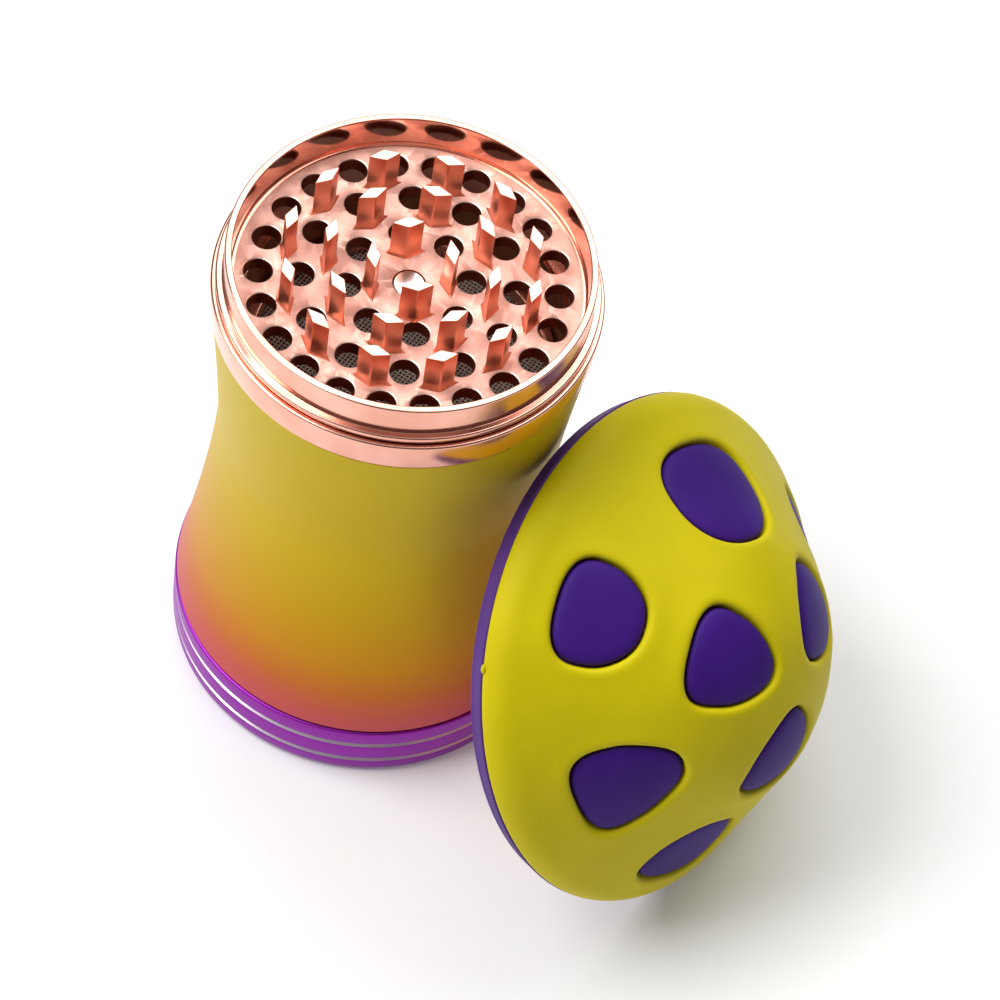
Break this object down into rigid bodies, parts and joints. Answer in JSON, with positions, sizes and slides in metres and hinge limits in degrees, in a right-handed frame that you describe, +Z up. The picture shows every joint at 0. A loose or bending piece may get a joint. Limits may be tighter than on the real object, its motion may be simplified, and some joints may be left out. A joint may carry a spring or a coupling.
{
  "type": "herb grinder",
  "caption": "Mushroom-shaped herb grinder: waisted metal stem with a toothed, drilled plate on top and a screw-on cup below, its spotted domed lid off and leaning on the stem.",
  "frame": {"origin": "centre of the cup's foot, on the surface the object stands on", "axes": "+Z up the stem's axis; the lid leans on the stem's +X side"},
  "size_m": [0.0999, 0.0728, 0.0872],
  "materials": {
    "cup_purple": "satin purple coating with two bright turned grooves",
    "stem_paint": "satin paint fading from yellow through orange to pink, bare rose-gold collar",
    "rose_gold": "rose-gold anodised, turned and sand-blasted",
    "screen_mesh": "fine woven wire",
    "magnet": "bright nickel plate",
    "slip_ring": "translucent white nylon",
    "purple_silicone": "matte moulded silicone",
    "yellow_silicone": "matte moulded silicone"
  },
  "bodies": {
    "cup": {"bottom_cup": "cup_purple"},
    "stem_rise": {"screen_ring": "rose_gold"},
    "stem": {"stem_shell": "stem_paint", "stem_neck": "stem_paint", "sieve_screen": "screen_mesh"},
    "plate_rise": {"plate_magnet": "magnet"},
    "plate": {"plate_ring": "rose_gold", "tooth_plate": "rose_gold", "plate_teeth": "rose_gold"},
    "lid_carry": {"wear_ring": "slip_ring"},
    "lid": {"lid_insert": "rose_gold", "lid_magnet": "magnet", "cap_core": "purple_silicone", "cap_skin": "yellow_silicone", "spot_1": "purple_silicone", "spot_2": "purple_silicone", "spot_3": "purple_silicone", "spot_4": "purple_silicone", "spot_5": "purple_silicone", "spot_6": "purple_silicone", "crown_spot_1": "purple_silicone", "crown_spot_2": "purple_silicone", "crown_spot_3": "purple_silicone"}
  },
  "joints": [
    {"name": "stem_lift", "type": "slide", "parent": "cup", "child": "stem_rise", "axis": [0, 0, 1], "range_m": [0, 0.012]},
    {"name": "stem_turn", "type": "hinge", "parent": "stem_rise", "child": "stem", "pos_m": [0, 0, 0.014], "axis": [0, 0, 1], "range_deg": [0, 720]},
    {"name": "plate_lift", "type": "slide", "parent": "stem", "child": "plate_rise", "axis": [0, 0, 1], "range_m": [0, 0.012]},
    {"name": "plate_turn", "type": "hinge", "parent": "plate_rise", "child": "plate", "pos_m": [0, 0, 0.076], "axis": [0, 0, 1], "range_deg": [0, 720]},
    {"name": "lid_away", "type": "slide", "parent": "cup", "child": "lid_carry", "axis": [0.866, 0, 0.5], "range_m": [0, 0.12]},
    {"name": "lid_turn", "type": "hinge", "parent": "lid_carry", "child": "lid", "pos_m": [0.04248, 0, 0.03038], "axis": [0.866, 0, 0.5], "continuous": true}
  ],
  "couplings": [
    {"joint": "stem_turn", "follows": "stem_lift", "rad_per_m": 1047.2},
    {"joint": "plate_turn", "follows": "plate_lift", "rad_per_m": 1047.2}
  ]
}
